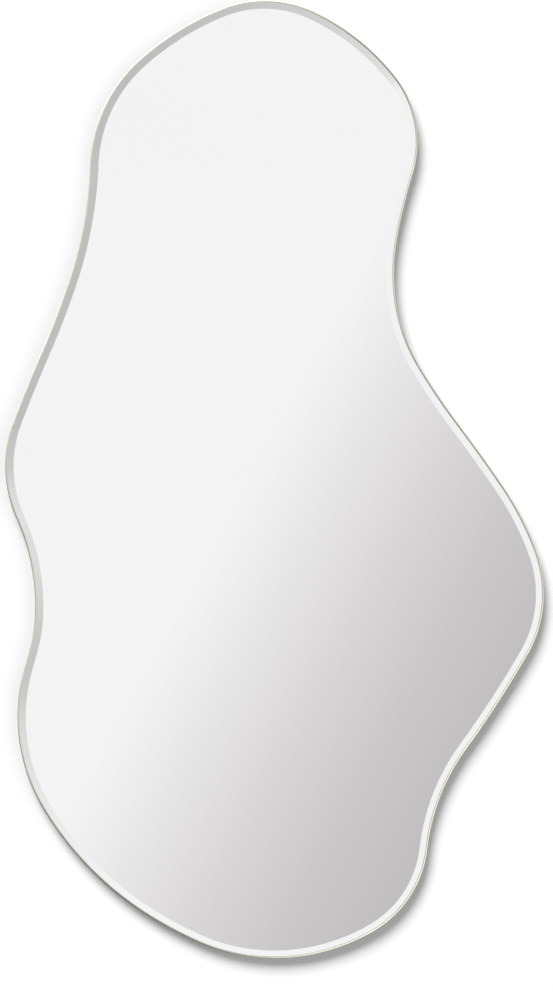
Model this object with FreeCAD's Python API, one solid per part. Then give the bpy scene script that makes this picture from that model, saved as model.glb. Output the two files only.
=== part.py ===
import FreeCAD, Part

import math
import os
from collections import namedtuple

# A free-form wall mirror: bevelled mirror glass on a board, edged by a thin brass band in four
# lengths, with lugs, splice plates, strap hangers and rubber bumpers behind. All sizes in mm.
# The wall is the plane y = 0 and the mirror faces -Y. X runs to the right seen from the front.
# The lengths are brazed end to end at the two side seams. At the crown and the foot a splice
# plate, soldered on the left and screwed on the right, closes the band round the board. The
# lugs are soldered to the band.

V = FreeCAD.Vector

# ---- the outline ---------------------------------------------------------------------------
# Stations on the outer edge of the band, clockwise seen from the front, from the middle of the
# outline's own box: how far across, how far up, and the heading of the edge there in degrees
# (0 runs to the right, 90 runs up). Two tangent arcs lead from each station to the next.
STATIONS = {
    "crown_seam": (70.0, 880.0, 335.0),
    "head_right": (260.0, 577.0, 253.0),
    "neck_right": (229.0, 330.0, 279.0),
    "flank_right": (346.0, 102.0, 307.0),
    "elbow_right": (492.0, -137.0, 290.0),
    "waist_right": (360.0, -506.0, 234.0),
    "foot_right": (185.0, -849.0, 210.0),
    "foot_seam": (-51.0, -896.0, 172.0),
    "foot_left": (-237.0, -820.0, 148.0),
    "belly_left": (-470.0, -352.0, 74.0),
    "waist_left": (-451.0, -265.0, 86.0),
    "flank_left": (-490.0, 112.0, 69.0),
    "neck_left": (-389.0, 366.0, 71.0),
    "head_left": (-255.0, 788.0, 42.0),
}

# ---- the layers, from the wall to the front --------------------------------------------------
BUMPER_HEIGHT = 12.0
BOARD_THICKNESS = 9.0
TAPE_THICKNESS = 1.0
FILM_THICKNESS = 0.2
GLASS_THICKNESS = 5.0

# ---- glass, board and band -------------------------------------------------------------------
BEVEL_WIDTH = 12.0
BEVEL_DEPTH = 2.5
GLASS_CLEARANCE = 0.5       # from the glass's edge to the band
FILM_MARGIN = 2.0           # glass left bare outside the film
BOARD_CLEARANCE = 0.3       # from the board's edge to the band
BOARD_ARRIS = 1.0           # chamfer on the board's back edge
BAND_THICKNESS = 2.5
BAND_DEPTH = 25.0
BAND_ARRIS = 0.8            # chamfers on the band's front edge
SEAM_GAPS = {
    "crown_seam": 0.3,
    "elbow_right": 0.0,     # brazed
    "foot_seam": 0.3,
    "flank_left": 0.0,      # brazed
}
BAND_LENGTHS = ["upper_right", "lower_right", "lower_left", "upper_left"]

# ---- mounting tape -----------------------------------------------------------------------------
TAPE_COUNT = 6
TAPE_WIDTH = 25.0
TAPE_MARGIN = 40.0          # kept back from the outline

# ---- screws ------------------------------------------------------------------------------------
WOOD_SCREW_DIAMETER = 3.5
WOOD_HEAD_DIAMETER = 7.0
WOOD_HEAD_HEIGHT = 2.4
MACHINE_SCREW_DIAMETER = 3.0
MACHINE_HEAD_DIAMETER = 5.6
MACHINE_HEAD_HEIGHT = 1.8
ROUND_SIDES = 12            # of the screws, their holes and the rings' wire, small and many
THREAD_PLAY = 0.05          # round a shank in the hole that it grips
HOLE_PLAY = 0.25            # round a shank in a hole that it passes
BOARD_COVER = 1.0           # board left in front of a screw's point
BAND_COVER = 0.5            # brass left outside a screw's end

# ---- lugs and splice plates --------------------------------------------------------------------
LUGS_PER_LENGTH = 2
LUG_SHEET = 1.5
LUG_WIDTH = 14.0
LUG_REACH = 20.0            # of the leg that lies on the board
LUG_BEND = 0.5              # inner radius of the bend
LUG_CORNER = 3.0
LUG_SEAT = 0.3              # solder between a flat leg and the curved band
SPLICE_SHEET = 2.0
SPLICE_LENGTH = 60.0
SPLICE_SEAT = 0.1           # solder between plate and band
SPLICE_SCREW_EDGE = 8.0     # outer screw to the plate's end
SPLICE_SCREW_PITCH = 14.0
REAR_MARGIN = 1.8           # lugs and plates stay this far inside the band's rear edge
SPLICE_BOARD_PLAY = 0.5

# ---- hangers -----------------------------------------------------------------------------------
HANG_ACROSS = -37.0         # middle of the two hooks, across and up from the outline's middle
HANG_UP = 560.0
HOOK_SPACING = 400.0
STRAP_SHEET = 1.5
STRAP_WIDTH = 20.0
STRAP_CORNER = 6.0
STRAP_HOLES = 2
STRAP_HOLE_PITCH = 18.0
STRAP_END = 8.0             # last hole to the strap's end
RING_WIRE = 4.0
RING_WIDTH = 26.0           # inside
RING_HEIGHT = 24.0          # from the bar's axis to the bow's
RING_PLAY = 0.3             # round the bar in its knuckle, and under the ring laid down
RING_TO_SCREW = 1.5
ROLL_SLIT = 0.4             # between the rolled sheet's end and the flat
MITRED = 1                  # how a swept wire turns its corners

# ---- wall bumpers ------------------------------------------------------------------------------
BUMPER_STATIONS = {
    "top_left": "head_left",
    "top_right": "head_right",
    "bottom_left": "foot_left",
    "bottom_right": "foot_right",
}
BUMPER_INSET = 70.0
BUMPER_DIAMETER = 22.0

SAME = 1e-4                 # sizes this close are equal

# ---- places that follow ------------------------------------------------------------------------
BOARD_BACK = -BUMPER_HEIGHT
BOARD_FRONT = BOARD_BACK - BOARD_THICKNESS
TAPE_FRONT = BOARD_FRONT - TAPE_THICKNESS
GLASS_BACK = TAPE_FRONT - FILM_THICKNESS
GLASS_FRONT = GLASS_BACK - GLASS_THICKNESS
BEVEL_FOOT = GLASS_FRONT + BEVEL_DEPTH
BAND_FRONT = GLASS_FRONT
BAND_REAR = BAND_FRONT + BAND_DEPTH

BOARD_BITE = BOARD_THICKNESS - BOARD_COVER
BAND_BITE = BAND_THICKNESS - BAND_COVER

FITTING_REAR = BAND_REAR - REAR_MARGIN
SPLICE_FRONT = BOARD_BACK + SPLICE_BOARD_PLAY
SPLICE_SCREW_Y = (SPLICE_FRONT + FITTING_REAR) / 2

RING_RADIUS = RING_WIRE / 2
RING_HALF = RING_WIDTH / 2 + RING_RADIUS
KNUCKLE_BORE = RING_RADIUS + RING_PLAY
KNUCKLE_RADIUS = KNUCKLE_BORE + STRAP_SHEET
BAR_Y = BOARD_BACK + KNUCKLE_RADIUS
BAR_UP = HANG_UP - RING_HEIGHT + RING_RADIUS
FIRST_HOLE = RING_HEIGHT + RING_RADIUS + RING_TO_SCREW + WOOD_HEAD_DIAMETER / 2
HOOKS = {
    "left": HANG_ACROSS - HOOK_SPACING / 2,
    "right": HANG_ACROSS + HOOK_SPACING / 2,
}

# ---- the outline as arcs -----------------------------------------------------------------------
# An arc starts at (x, z) with a heading in radians, turns by bend (radians per mm, plus to the
# left) and has a length on the outer edge.
Arc = namedtuple("Arc", "x z heading bend length")
Spot = namedtuple("Spot", "x z heading")


def along(arc, distance):
    """The spot on an arc at a distance from its start."""
    heading = arc.heading + arc.bend * distance
    if arc.bend == 0:
        x = arc.x + distance * math.cos(heading)
        z = arc.z + distance * math.sin(heading)
    else:
        x = arc.x + (math.sin(heading) - math.sin(arc.heading)) / arc.bend
        z = arc.z - (math.cos(heading) - math.cos(arc.heading)) / arc.bend
    return Spot(x, z, heading)


def arc_to(spot, x, z):
    """The arc that leaves a spot along its heading and ends at (x, z)."""
    chord_x = x - spot.x
    chord_z = z - spot.z
    ahead = chord_x * math.cos(spot.heading) + chord_z * math.sin(spot.heading)
    aside = chord_z * math.cos(spot.heading) - chord_x * math.sin(spot.heading)
    chord = math.hypot(chord_x, chord_z)
    turn = 2 * math.atan2(aside, ahead)
    if abs(aside) < chord * 1e-9:
        return Arc(spot.x, spot.z, spot.heading, 0, chord)
    bend = 2 * aside / chord ** 2
    return Arc(spot.x, spot.z, spot.heading, bend, turn / bend)


def arc_pair(start, end):
    """Two tangent arcs from one station to the next, with equal handles at both stations."""
    sum_x = math.cos(start.heading) + math.cos(end.heading)
    sum_z = math.sin(start.heading) + math.sin(end.heading)
    chord_x = end.x - start.x
    chord_z = end.z - start.z
    lead = chord_x * sum_x + chord_z * sum_z
    spread = 2 * (1 - math.cos(end.heading - start.heading))
    reach = chord_x ** 2 + chord_z ** 2
    handle = reach / (lead + math.sqrt(lead ** 2 + spread * reach))
    meet_x = (start.x + end.x + handle * (math.cos(start.heading) - math.cos(end.heading))) / 2
    meet_z = (start.z + end.z + handle * (math.sin(start.heading) - math.sin(end.heading))) / 2
    first = arc_to(start, meet_x, meet_z)
    second = arc_to(along(first, first.length), end.x, end.z)
    return [first, second]


SPOTS = {name: Spot(x, z, math.radians(turn)) for name, (x, z, turn) in STATIONS.items()}


def outline_arcs():
    spots = list(SPOTS.values())
    arcs = []
    for start, end in zip(spots, spots[1:] + spots[:1]):
        arcs += arc_pair(start, end)
    return arcs


OUTLINE = outline_arcs()
PERIMETER = sum(arc.length for arc in OUTLINE)


def distance_of(station):
    """How far a station lies along the outline from the crown seam."""
    place = list(STATIONS).index(station)
    return sum(arc.length for arc in OUTLINE[:2 * place])


def stretch(start, end):
    """The arcs between two distances along the outline, which may run past its end."""
    arcs = []
    passed = 0.0
    for arc in OUTLINE + OUTLINE:
        low = max(start - passed, 0.0)
        high = min(end - passed, arc.length)
        if low + SAME < high:
            spot = along(arc, low)
            arcs.append(Arc(spot.x, spot.z, spot.heading, arc.bend, high - low))
        passed += arc.length
    return arcs


def spot_at(distance):
    """The spot on the outline at a distance from the crown seam."""
    left = distance % PERIMETER
    for arc in OUTLINE:
        if left <= arc.length:
            return along(arc, left)
        left -= arc.length


# ---- helpers -----------------------------------------------------------------------------------
def inset_point(spot, inset, y):
    """A point inside the outline, square to the edge at a spot."""
    return V(spot.x + inset * math.sin(spot.heading), y, spot.z - inset * math.cos(spot.heading))


def edges(arcs, inset, y):
    """The arcs as edges at one inset from the outline."""
    made = []
    for arc in arcs:
        points = [inset_point(along(arc, part * arc.length), inset, y) for part in (0, 0.5, 1)]
        made.append(Part.Arc(*points).toShape() if arc.bend else Part.makeLine(points[0], points[2]))
    return made


def ring_wire(inset, y):
    return Part.Wire(edges(OUTLINE, inset, y))


def plate(inset, y_back, y_front):
    """A sheet in the mirror's outline."""
    face = Part.Face(ring_wire(inset, y_back))
    return face.extrude(V(0, y_front - y_back, 0))


def curved_strip(start, end, inset, thickness, y_back, y_front):
    """A strip that follows the outline between two distances."""
    arcs = stretch(start, end)
    outer = edges(arcs, inset, y_back)
    inner = edges(arcs, inset + thickness, y_back)
    first = Part.makeLine(inner[0].firstVertex().Point, outer[0].firstVertex().Point)
    last = Part.makeLine(outer[-1].lastVertex().Point, inner[-1].lastVertex().Point)
    wire = Part.Wire(Part.__sortEdges__([first] + outer + [last] + inner[::-1]))
    return Part.Face(wire).extrude(V(0, y_front - y_back, 0))


def on_outline(shape, distance, inset):
    """Moves a shape made with +X along the edge and +Z outwards to its place on the outline."""
    spot = spot_at(distance)
    turn = FreeCAD.Rotation(V(0, 1, 0), -math.degrees(spot.heading))
    placed = shape.copy()
    placed.Placement = FreeCAD.Placement(inset_point(spot, inset, 0), turn) * shape.Placement
    return placed


def cut_all(shape, tools):
    return shape.cut(Part.makeCompound(tools)) if tools else shape


# ---- screws ------------------------------------------------------------------------------------
def many_sided(radius, z):
    """A closed wire round the Z axis that stands in for a circle."""
    corners = [V(radius, 0, z)]
    step = FreeCAD.Rotation(V(0, 0, 1), 360 / ROUND_SIDES)
    for _ in range(ROUND_SIDES):
        corners.append(step.multVec(corners[-1]))
    corners[-1] = corners[0]
    return Part.makePolygon(corners)


def round_bar(radius, start, end):
    """A slender round piece along Z, or what a hole for one takes out."""
    return Part.Face(many_sided(radius, start)).extrude(V(0, 0, end - start))


def screw(diameter, head_diameter, head_height, length):
    """A screw along +Z, with the underside of its head at z = 0."""
    head = round_bar(head_diameter / 2, -head_height, 0)
    return head.fuse(round_bar(diameter / 2, 0, length))


def wood_screw(grip):
    """A wood screw that passes grip millimetres of other pieces before the board."""
    return screw(WOOD_SCREW_DIAMETER, WOOD_HEAD_DIAMETER, WOOD_HEAD_HEIGHT, grip + BOARD_BITE)


def machine_screw(grip):
    """A machine screw that passes grip millimetres before the band."""
    return screw(
        MACHINE_SCREW_DIAMETER, MACHINE_HEAD_DIAMETER, MACHINE_HEAD_HEIGHT, grip + BAND_BITE)


def into_board(piece, head_y, x, z):
    """Turns a piece made along +Z to run from the wall side into the board."""
    placed = piece.copy()
    turn = FreeCAD.Rotation(V(1, 0, 0), 90)
    placed.Placement = FreeCAD.Placement(V(x, head_y, z), turn)
    return placed


def screw_hole(play, depth, y, x, z):
    """What a wood screw's hole takes out, from y towards the front."""
    radius = WOOD_SCREW_DIAMETER / 2 + play
    return into_board(round_bar(radius, 0, depth), y, x, z)


def pilot_hole(x, z):
    return screw_hole(THREAD_PLAY, BOARD_BITE + THREAD_PLAY, BOARD_BACK, x, z)


def hole_through(sheet, x, z):
    """Through a sheet that lies on the board."""
    return screw_hole(HOLE_PLAY, sheet, BOARD_BACK + sheet, x, z)


# ---- lugs --------------------------------------------------------------------------------------
def band_stretches():
    """Where each length of the band starts and ends along the outline."""
    places = [(distance_of(seam), gap) for seam, gap in SEAM_GAPS.items()]
    nexts = places[1:] + [(PERIMETER, places[0][1])]
    return [(start + gap / 2, end - next_gap / 2)
            for (start, gap), (end, next_gap) in zip(places, nexts)]


def lug_distances():
    """The lugs stand evenly along each length of the band."""
    places = []
    for start, end in band_stretches():
        pitch = (end - start) / LUGS_PER_LENGTH
        places += [start + pitch * (i + 0.5) for i in range(LUGS_PER_LENGTH)]
    return places


LUG_PLACES = lug_distances()
LUG_HOLE_Z = -LUG_SEAT - (LUG_REACH + LUG_SHEET) / 2


def frame_lug():
    """An L bent from sheet. One leg lies on the board and the other stands along the band."""
    back = BOARD_BACK
    face = -LUG_SEAT
    outer = LUG_BEND + LUG_SHEET
    diagonal = math.sqrt(0.5)
    outer_mid = V(0, back + outer * (1 - diagonal), face - outer * (1 - diagonal))
    inner_mid = V(0, back + outer - LUG_BEND * diagonal, face - outer + LUG_BEND * diagonal)
    low = back + LUG_SHEET
    wall = face - LUG_SHEET
    profile = [
        Part.makeLine(V(0, back, face - LUG_REACH), V(0, back, face - outer)),
        Part.Arc(V(0, back, face - outer), outer_mid, V(0, back + outer, face)).toShape(),
        Part.makeLine(V(0, back + outer, face), V(0, FITTING_REAR, face)),
        Part.makeLine(V(0, FITTING_REAR, face), V(0, FITTING_REAR, wall)),
        Part.makeLine(V(0, FITTING_REAR, wall), V(0, back + outer, wall)),
        Part.Arc(V(0, back + outer, wall), inner_mid, V(0, low, face - outer)).toShape(),
        Part.makeLine(V(0, low, face - outer), V(0, low, face - LUG_REACH)),
        Part.makeLine(V(0, low, face - LUG_REACH), V(0, back, face - LUG_REACH)),
    ]
    bar = Part.Face(Part.Wire(profile)).extrude(V(LUG_WIDTH, 0, 0))
    bar.translate(V(-LUG_WIDTH / 2, 0, 0))
    ends = [edge for edge in bar.Edges if is_lug_corner(edge)]
    lug = bar.makeChamfer(LUG_CORNER, ends)
    return lug.cut(hole_through(LUG_SHEET, 0, LUG_HOLE_Z))


def is_lug_corner(edge):
    """The two short upright edges at the free end of the leg on the board."""
    box = edge.BoundBox
    at_end = abs(box.ZMax + LUG_SEAT + LUG_REACH) < SAME
    return at_end and box.XLength < SAME


# ---- glass, film, tape, board ------------------------------------------------------------------
def mirror_glass():
    """The sheet below the bevel, and the bevel as one ring of cone faces up to the flat front."""
    edge = BAND_THICKNESS + GLASS_CLEARANCE
    sheet = plate(edge, GLASS_BACK, BEVEL_FOOT)
    foot = ring_wire(edge, BEVEL_FOOT)
    brow = ring_wire(edge + BEVEL_WIDTH, GLASS_FRONT)
    crown = Part.makeLoft([foot, brow], True, True)
    return sheet.fuse(crown).removeSplitter()


def splinter_film():
    return plate(BAND_THICKNESS + GLASS_CLEARANCE + FILM_MARGIN, TAPE_FRONT, GLASS_BACK)


def runs_inside(face, x):
    """The upright runs, low and high, in which a line at x lies inside a face."""
    box = face.BoundBox
    line = Part.makeLine(V(x, box.YMin, box.ZMin), V(x, box.YMin, box.ZMax))
    return [(part.BoundBox.ZMin, part.BoundBox.ZMax) for part in face.common(line).Edges]


def foam_tapes():
    """Upright tapes, each as long as the outline lets a square-cut strip be."""
    field = Part.Face(ring_wire(TAPE_MARGIN, TAPE_FRONT))
    pitch = field.BoundBox.XLength / TAPE_COUNT
    tapes = []
    for i in range(TAPE_COUNT):
        x = field.BoundBox.XMin + (i + 0.5) * pitch
        left = max(runs_inside(field, x - TAPE_WIDTH / 2), key=length_of)
        right = max(runs_inside(field, x + TAPE_WIDTH / 2), key=length_of)
        low = max(left[0], right[0])
        high = min(left[1], right[1])
        corner = V(x - TAPE_WIDTH / 2, TAPE_FRONT, low)
        tapes.append(Part.makeBox(TAPE_WIDTH, TAPE_THICKNESS, high - low, corner))
    return tapes


def length_of(run):
    return run[1] - run[0]


def back_board():
    inset = BAND_THICKNESS + BOARD_CLEARANCE
    shoulder = BOARD_BACK - BOARD_ARRIS
    front = plate(inset, shoulder, BOARD_FRONT)
    back = Part.makeLoft([ring_wire(inset, shoulder), ring_wire(inset + BOARD_ARRIS, BOARD_BACK)],
                         True, True)
    holes = [pilot_hole(x, z) for x, z in hanger_hole_places()]
    for distance in LUG_PLACES:
        holes.append(on_outline(pilot_hole(0, LUG_HOLE_Z), distance, BAND_THICKNESS))
    return cut_all(front.fuse(back).removeSplitter(), holes)


# ---- band --------------------------------------------------------------------------------------
def band(start, end, screw_places):
    """A length of the band: flat strip on edge, chamfered in front, tapped from inside."""
    strip = curved_strip(start, end, 0, BAND_THICKNESS, BAND_REAR, BAND_FRONT)
    rims = [edge for edge in strip.Edges if is_front_rim(edge)]
    eased = strip.makeChamfer(BAND_ARRIS, rims)
    radius = MACHINE_SCREW_DIAMETER / 2 + THREAD_PLAY
    hole = round_bar(radius, 0, BAND_BITE + THREAD_PLAY)
    hole.translate(V(0, SPLICE_SCREW_Y, 0))
    return cut_all(eased, [on_outline(hole, place, BAND_THICKNESS) for place in screw_places])


def is_front_rim(edge):
    """The long edges along the front of a strip, without the short ones at its ends."""
    box = edge.BoundBox
    flat = abs(box.YMin - BAND_FRONT) < SAME and box.YLength < SAME
    return flat and edge.Length > 1.5 * BAND_THICKNESS


def splice_screw_places(foot):
    """Where the splice screws stand along the outline: in the right length, at both seams."""
    far = SPLICE_LENGTH / 2 - SPLICE_SCREW_EDGE
    near = far - SPLICE_SCREW_PITCH
    return {"top": [near, far], "bottom": [foot - far, foot - near]}


def splice_plate(seam, screw_places):
    """A curved plate inside both lengths, drilled where it lies in the right one."""
    middle = seam + PERIMETER
    half = SPLICE_LENGTH / 2
    sheet = curved_strip(middle - half, middle + half, BAND_THICKNESS + SPLICE_SEAT,
                         SPLICE_SHEET, SPLICE_FRONT, FITTING_REAR)
    radius = MACHINE_SCREW_DIAMETER / 2 + HOLE_PLAY
    hole = round_bar(radius, 0, 2 * SPLICE_SHEET)
    hole.translate(V(0, SPLICE_SCREW_Y, -SPLICE_SEAT - 1.5 * SPLICE_SHEET))
    return cut_all(sheet, [on_outline(hole, place, BAND_THICKNESS) for place in screw_places])


def splice_machine_screw():
    placed = machine_screw(SPLICE_SHEET + SPLICE_SEAT)
    placed.translate(V(0, SPLICE_SCREW_Y, -SPLICE_SEAT - SPLICE_SHEET))
    return placed


# ---- hangers -----------------------------------------------------------------------------------
def strap_holes():
    """How far the strap's holes lie below the bar."""
    return [FIRST_HOLE + i * STRAP_HOLE_PITCH for i in range(STRAP_HOLES)]


def hanger_hole_places():
    return [(x, BAR_UP - drop) for x in HOOKS.values() for drop in strap_holes()]


def hanger_strap(x):
    """Sheet rolled at its upper end into a knuckle that holds the ring's bar."""
    length = strap_holes()[-1] + STRAP_END
    flat = Part.makeBox(
        STRAP_WIDTH, STRAP_SHEET, length, V(x - STRAP_WIDTH / 2, BOARD_BACK, BAR_UP - length))
    foot = [edge for edge in flat.Edges if is_strap_corner(edge, BAR_UP - length)]
    flat = flat.makeFillet(STRAP_CORNER, foot)
    left = V(x - STRAP_WIDTH / 2, BAR_Y, BAR_UP)
    roll = Part.makeCylinder(KNUCKLE_RADIUS, STRAP_WIDTH, left, V(1, 0, 0))
    bore = Part.makeCylinder(KNUCKLE_BORE, STRAP_WIDTH, left, V(1, 0, 0))
    slit = Part.makeBox(
        STRAP_WIDTH, ROLL_SLIT, KNUCKLE_RADIUS,
        V(x - STRAP_WIDTH / 2, BOARD_BACK + STRAP_SHEET, BAR_UP - KNUCKLE_RADIUS))
    holes = [hole_through(STRAP_SHEET, x, BAR_UP - drop) for drop in strap_holes()]
    return cut_all(flat.fuse(roll), [bore, slit] + holes).removeSplitter()


def is_strap_corner(edge, z):
    """The two short edges through the sheet at the strap's foot."""
    box = edge.BoundBox
    return abs(box.ZMax - z) < SAME and box.XLength < SAME


def d_ring(x):
    """Round wire in a D with two sharp corners: bar in the knuckle, two legs and a bow below."""
    legs_foot = BAR_UP - RING_HEIGHT + RING_HALF
    middle = V(x, BAR_Y, BAR_UP)
    bow_foot = V(x, BAR_Y, BAR_UP - RING_HEIGHT)
    corners = [V(x + side * RING_HALF, BAR_Y, BAR_UP) for side in (-1, 1)]
    feet = [V(x + side * RING_HALF, BAR_Y, legs_foot) for side in (-1, 1)]
    path = Part.Wire([
        Part.makeLine(middle, corners[1]),
        Part.makeLine(corners[1], feet[1]),
        Part.Arc(feet[1], bow_foot, feet[0]).toShape(),
        Part.makeLine(feet[0], corners[0]),
        Part.makeLine(corners[0], middle),
    ])
    section = many_sided(RING_RADIUS, 0)
    section.Placement = FreeCAD.Placement(middle, FreeCAD.Rotation(V(0, 1, 0), 90))
    return path.makePipeShell([section], True, False, MITRED)


# ---- wall bumpers ------------------------------------------------------------------------------
def bumper_places():
    """Where each bumper stands, inside its station."""
    points = [inset_point(SPOTS[station], BUMPER_INSET, 0) for station in BUMPER_STATIONS.values()]
    return [(point.x, point.z) for point in points]


def wall_bumper(x, z):
    """A self-adhesive rubber bumper from the board to the wall."""
    return Part.makeCylinder(BUMPER_DIAMETER / 2, BUMPER_HEIGHT, V(x, BOARD_BACK, z), V(0, 1, 0))


# ---- all pieces --------------------------------------------------------------------------------
def export(name, shapes):
    """Writes one node, moved so that the middle of the hooks is the origin."""
    shape = shapes[0] if len(shapes) == 1 else Part.makeCompound(shapes)
    moved = shape.copy()
    moved.translate(V(-HANG_ACROSS, 0, -HANG_UP))
    assert moved.isValid() and all(solid.Volume > 0 for solid in moved.Solids), name
    moved.exportStep(os.path.join("parts", name + ".step"))


def main():
    os.makedirs("parts", exist_ok=True)
    foot = distance_of("foot_seam")

    export("mirror_glass", [mirror_glass()])
    export("splinter_film", [splinter_film()])
    for i, tape in enumerate(foam_tapes()):
        export(f"foam_tape_{i + 1}", [tape])
    export("back_board", [back_board()])

    tapped = splice_screw_places(foot)
    for name, (start, end) in zip(BAND_LENGTHS, band_stretches()):
        inside = [place for place in tapped["top"] + tapped["bottom"] if start < place < end]
        export(f"band_{name}", [band(start, end, inside)])
    export("splice_plate_top", [splice_plate(0.0, tapped["top"])])
    export("splice_plate_bottom", [splice_plate(foot, tapped["bottom"])])
    splice_screw = splice_machine_screw()
    export("splice_screws", [on_outline(splice_screw, place, BAND_THICKNESS)
                             for place in tapped["top"] + tapped["bottom"]])

    lug = frame_lug()
    for i, place in enumerate(LUG_PLACES):
        export(f"frame_lug_{i + 1}", [on_outline(lug, place, BAND_THICKNESS)])
    board_screw = into_board(wood_screw(LUG_SHEET), BOARD_BACK + LUG_SHEET, 0, LUG_HOLE_Z)
    export("lug_screws", [on_outline(board_screw, place, BAND_THICKNESS)
                          for place in LUG_PLACES])

    for side, x in HOOKS.items():
        export(f"hanger_strap_{side}", [hanger_strap(x)])
        export(f"d_ring_{side}", [d_ring(x)])
    strap_screw = wood_screw(STRAP_SHEET)
    export("hanger_screws", [into_board(strap_screw, BOARD_BACK + STRAP_SHEET, x, z)
                             for x, z in hanger_hole_places()])

    for side, (x, z) in zip(BUMPER_STATIONS, bumper_places()):
        export(f"wall_bumper_{side}", [wall_bumper(x, z)])


main()
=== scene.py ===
import math
from collections import namedtuple

import bmesh
import bpy
from mathutils import Matrix, Vector


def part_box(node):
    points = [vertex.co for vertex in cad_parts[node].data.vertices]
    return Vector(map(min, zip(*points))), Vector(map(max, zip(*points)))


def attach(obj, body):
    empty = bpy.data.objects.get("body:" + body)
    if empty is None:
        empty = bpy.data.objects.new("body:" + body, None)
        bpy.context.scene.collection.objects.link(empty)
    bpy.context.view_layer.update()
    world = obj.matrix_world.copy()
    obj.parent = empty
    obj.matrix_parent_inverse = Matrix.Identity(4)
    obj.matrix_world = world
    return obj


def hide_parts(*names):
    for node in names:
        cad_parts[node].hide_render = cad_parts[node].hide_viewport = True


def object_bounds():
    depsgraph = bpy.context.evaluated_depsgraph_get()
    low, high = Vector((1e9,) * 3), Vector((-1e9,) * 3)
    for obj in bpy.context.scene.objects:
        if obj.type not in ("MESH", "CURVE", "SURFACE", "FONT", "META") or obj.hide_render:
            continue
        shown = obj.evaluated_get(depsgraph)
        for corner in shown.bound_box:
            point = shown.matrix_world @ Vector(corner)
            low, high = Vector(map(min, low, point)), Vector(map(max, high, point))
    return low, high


# A free-form wall mirror with a narrow bevel and a thin brass band, hung on a white wall.
# Everything is in metres: X to the right, +Y into the wall, +Z up, and the mirror faces -Y.

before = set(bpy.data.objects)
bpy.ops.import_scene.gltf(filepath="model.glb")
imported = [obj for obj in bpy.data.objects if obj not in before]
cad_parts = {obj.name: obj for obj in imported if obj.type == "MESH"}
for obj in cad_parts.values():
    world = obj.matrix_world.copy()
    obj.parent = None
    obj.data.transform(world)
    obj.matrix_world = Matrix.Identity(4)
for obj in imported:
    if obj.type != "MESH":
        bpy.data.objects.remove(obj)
CAD_LOW, CAD_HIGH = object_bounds()
MM = 0.001
TO_WALL = Vector((0, 1, 0))
BODY = "mirror_body"

# ---- the maker's drawing of the outline --------------------------------------------------------
# Stations on the band's outer edge, clockwise seen from the front, in millimetres from the
# drawing's middle: across, up, and the heading of the edge in degrees. Two tangent arcs join
# each station to the next.
STATIONS = {
    "crown_seam": (70, 880, 335),
    "head_right": (260, 577, 253),
    "neck_right": (229, 330, 279),
    "flank_right": (346, 102, 307),
    "elbow_right": (492, -137, 290),
    "waist_right": (360, -506, 234),
    "foot_right": (185, -849, 210),
    "foot_seam": (-51, -896, 172),
    "foot_left": (-237, -820, 148),
    "belly_left": (-470, -352, 74),
    "waist_left": (-451, -265, 86),
    "flank_left": (-490, 112, 69),
    "neck_left": (-389, 366, 71),
    "head_left": (-255, 788, 42),
}
DRAWING_MIDDLE = (37 * MM, -560 * MM)

SEAM_GAPS = {"crown_seam": 0.3 * MM, "elbow_right": 0.0, "foot_seam": 0.3 * MM, "flank_left": 0.0}
BAND_LENGTHS = ["upper_right", "lower_right", "lower_left", "upper_left"]

# ---- sizes read from the frame -----------------------------------------------------------------
GLASS_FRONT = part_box("mirror_glass")[0].y
GLASS_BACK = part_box("mirror_glass")[1].y
BAND_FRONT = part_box("band_upper_right")[0].y
BAND_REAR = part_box("band_upper_right")[1].y
BOARD_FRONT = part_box("back_board")[0].y
BOARD_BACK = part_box("back_board")[1].y
BUMPER_LOW, BUMPER_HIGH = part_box("wall_bumper_top_left")

# ---- sizes of the finish -----------------------------------------------------------------------
SPACING = 4 * MM               # between cross-sections along the outline
BAND_THICKNESS = 2.5 * MM
BAND_NOSE = 1.9 * MM           # rounding of the band's front outer edge
BAND_ARRIS = 0.4 * MM          # rounding of its front inner edge
BAND_REAR_ARRIS = 0.2 * MM
GLASS_INSET = 2.6 * MM
BEVEL_WIDTH = 12.7 * MM
BEVEL_DEPTH = 2.5 * MM
BEVEL_BROW = 0.2 * MM          # fine line that polishing leaves between bevel and face
BEVEL_DRIFT = Vector((0.7 * MM, 0, -0.8 * MM))  # how far off true its inner line is ground
NO_DRIFT = Vector((0, 0, 0))
GLASS_SEAM = 0.4 * MM          # ground edge below the bevel
BOARD_INSET = 2.8 * MM
BOARD_ARRIS = 1.0 * MM
ROUND_STEPS = 4                # facets in a rounded edge
NOSE_STEPS = 8
BEND_STEPS = 10                # facets in a bend of the wire

# ---- the view ----------------------------------------------------------------------------------
PICTURE_MIDDLE = (40.65 * MM, -591.2 * MM)
PICTURE_HEIGHT = 1863.1 * MM
CAMERA_DISTANCE = 9.0
SENSOR = 36.0


# ---- the outline as arcs -----------------------------------------------------------------------
Spot = namedtuple("Spot", "x z heading")
Arc = namedtuple("Arc", "x z heading bend length")


def along(arc, distance):
    """The spot on an arc at a distance from its start."""
    heading = arc.heading + arc.bend * distance
    x = arc.x + (math.sin(heading) - math.sin(arc.heading)) / arc.bend
    z = arc.z - (math.cos(heading) - math.cos(arc.heading)) / arc.bend
    return Spot(x, z, heading)


def arc_to(spot, x, z):
    """The arc that leaves a spot along its heading and ends at (x, z)."""
    ahead = (x - spot.x) * math.cos(spot.heading) + (z - spot.z) * math.sin(spot.heading)
    aside = (z - spot.z) * math.cos(spot.heading) - (x - spot.x) * math.sin(spot.heading)
    bend = 2 * aside / (ahead ** 2 + aside ** 2)
    return Arc(spot.x, spot.z, spot.heading, bend, 2 * math.atan2(aside, ahead) / bend)


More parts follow.
